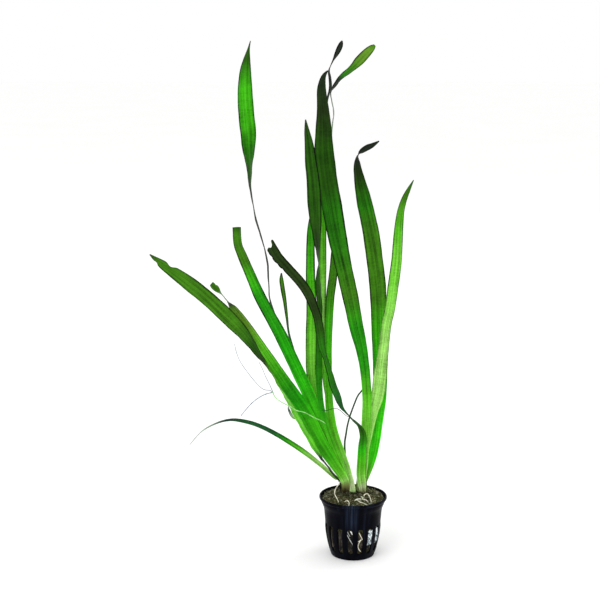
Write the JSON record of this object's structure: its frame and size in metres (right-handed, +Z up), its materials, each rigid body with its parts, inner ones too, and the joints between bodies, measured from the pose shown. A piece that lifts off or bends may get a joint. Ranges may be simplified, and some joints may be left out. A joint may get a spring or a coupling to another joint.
{
  "type": "potted vallisneria",
  "caption": "Strap-leaved aquarium plant in two rosettes, with a runner and thin roots, growing from a mineral wool plug in a small black net pot.",
  "frame": {"origin": "middle of the underside of the pot, on the surface it stands on", "axes": "+Z up along the pot's axis, -Y towards the viewer of the plant's front, +X to the right of that viewer"},
  "size_m": [0.193, 0.1031, 0.3979],
  "materials": {
    "black_plastic": "satin black, moulded",
    "brown_wool": "fibrous, damp",
    "brown_sheath": "dull, papery",
    "pale_stem": "satin",
    "bright_green_leaf": "satin, finely veined",
    "pale_green_leaf": "satin, finely veined",
    "dark_green_leaf": "satin, finely veined",
    "grey_green_thread": "dull",
    "cream_root": "dull"
  },
  "bodies": {
    "root": {"net_pot": "black_plastic", "rock_wool_plug": "brown_wool", "left_crown": "brown_sheath", "right_crown": "pale_stem", "leaf_drooping": "bright_green_leaf", "leaf_outer_left": "bright_green_leaf", "leaf_front_left": "bright_green_leaf", "leaf_blunt_tip": "bright_green_leaf", "leaf_tall_left": "bright_green_leaf", "leaf_small_bud": "bright_green_leaf", "leaf_dark_upright": "dark_green_leaf", "leaf_pale_back": "pale_green_leaf", "leaf_pale_middle": "pale_green_leaf", "leaf_long_curled": "bright_green_leaf", "leaf_dark_curled": "dark_green_leaf", "leaf_broad_middle": "bright_green_leaf", "leaf_bent_tip": "dark_green_leaf", "leaf_pale_right": "pale_green_leaf", "leaf_dark_crossing": "dark_green_leaf", "leaf_plantlet": "grey_green_thread", "thin_stalk": "dark_green_leaf", "runner": "pale_green_leaf", "runner_branch": "pale_green_leaf", "rootlet_up": "grey_green_thread", "rootlet_short": "grey_green_thread", "rootlet_down": "grey_green_thread", "root_left": "cream_root", "root_front": "cream_root", "root_right": "cream_root", "root_loop": "cream_root"}
  },
  "joints": []
}
